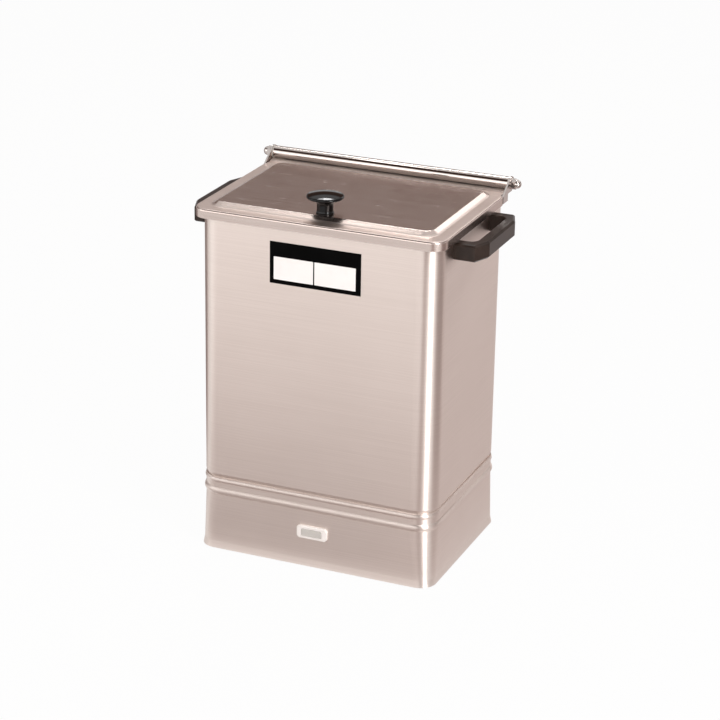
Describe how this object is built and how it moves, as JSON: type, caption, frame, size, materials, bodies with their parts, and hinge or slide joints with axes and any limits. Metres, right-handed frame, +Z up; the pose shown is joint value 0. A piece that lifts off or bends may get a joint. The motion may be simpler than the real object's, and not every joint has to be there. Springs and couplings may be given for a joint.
{
  "type": "hot pack heater",
  "caption": "Free-standing stainless tank with a hinged lid, two carrying handles and a heated base, for moist hot packs in water.",
  "frame": {"origin": "on the resting surface under the middle of the tank", "axes": "+Z up, the front with the pilot light faces -Y, the lid's hinge runs along X at the rear"},
  "size_m": [0.3444, 0.2204, 0.43],
  "materials": {
    "brushed_stainless": "satin, fine horizontal brush",
    "polished_stainless": "polished",
    "rack_wire": "electropolished wire",
    "gloss_phenolic": "glossy black phenolic",
    "matte_phenolic": "satin black-brown phenolic",
    "foot_rubber": "matte",
    "zinc_plate": "zinc plated",
    "label_black": "satin black",
    "pilot_white": "semi-gloss white",
    "pilot_clear": "clear",
    "lamp_glass": "clear",
    "bush_nylon": "natural nylon",
    "element_sheath": "dull oxidised sheath",
    "copper": "drawn copper",
    "brass": "turned brass",
    "dark_moulding": "moulded phenolic",
    "heat_lead": "braided heat-proof sleeve",
    "pilot_lead": "insulation",
    "earth_lead": "green insulation"
  },
  "bodies": {
    "unit": {"base_skirt": "brushed_stainless", "bottom_cover": "zinc_plate", "bulb_clips": "zinc_plate", "bushing_nut": "brass", "cap_nuts": "polished_stainless", "capillary_tube": "copper", "cord_gland": "dark_moulding", "cover_screws": "zinc_plate", "cover_tabs": "zinc_plate", "earth_lead": "earth_lead", "earth_lug": "brass", "earth_nut": "zinc_plate", "earth_stud": "zinc_plate", "element_clamps": "zinc_plate", "element_nuts": "zinc_plate", "element_studs": "zinc_plate", "feet": "foot_rubber", "foot_nuts": "zinc_plate", "foot_screws": "zinc_plate", "gland_nut": "dark_moulding", "handle_left": "matte_phenolic", "handle_right": "matte_phenolic", "handle_screws": "polished_stainless", "handle_seals": "foot_rubber", "heater_leads": "heat_lead", "heating_element": "element_sheath", "hinge_bracket_left": "polished_stainless", "hinge_bracket_right": "polished_stainless", "hinge_rod": "polished_stainless", "hinge_washers": "polished_stainless", "label_plate": "label_black", "pilot_bezel": "pilot_white", "pilot_clip": "zinc_plate", "pilot_lamp": "lamp_glass", "pilot_leads": "pilot_lead", "pilot_lens": "pilot_clear", "rack_feet": "rack_wire", "rack_floor_wires": "rack_wire", "rack_hoop_1": "rack_wire", "rack_hoop_2": "rack_wire", "rack_hoop_3": "rack_wire", "rack_hoop_4": "rack_wire", "rack_hoop_5": "rack_wire", "rack_lifts": "rack_wire", "rack_lower_frame": "rack_wire", "rack_upper_frame": "rack_wire", "sensing_bulb": "copper", "tank": "brushed_stainless", "terminal_block": "dark_moulding", "terminal_screws": "brass", "terminal_shelf": "zinc_plate", "thermostat_body": "dark_moulding", "thermostat_shelf": "zinc_plate"},
    "lid": {"lid_panel": "brushed_stainless", "hinge_tube": "polished_stainless", "hinge_bushes": "bush_nylon", "lid_knob": "gloss_phenolic", "knob_screw": "polished_stainless", "knob_washer": "polished_stainless"},
    "spindle": {"thermostat_spindle": "brass"}
  },
  "joints": [
    {"name": "lid_hinge", "type": "hinge", "parent": "unit", "child": "lid", "pos_m": [0, 0.1022, 0.4092], "axis": [-1, 0, 0], "range_deg": [0, 105]},
    {"name": "thermostat_turn", "type": "hinge", "parent": "unit", "child": "spindle", "pos_m": [0.072, -0.072, 0.0205], "axis": [0, 0, 1], "range_deg": [0, 270]}
  ]
}
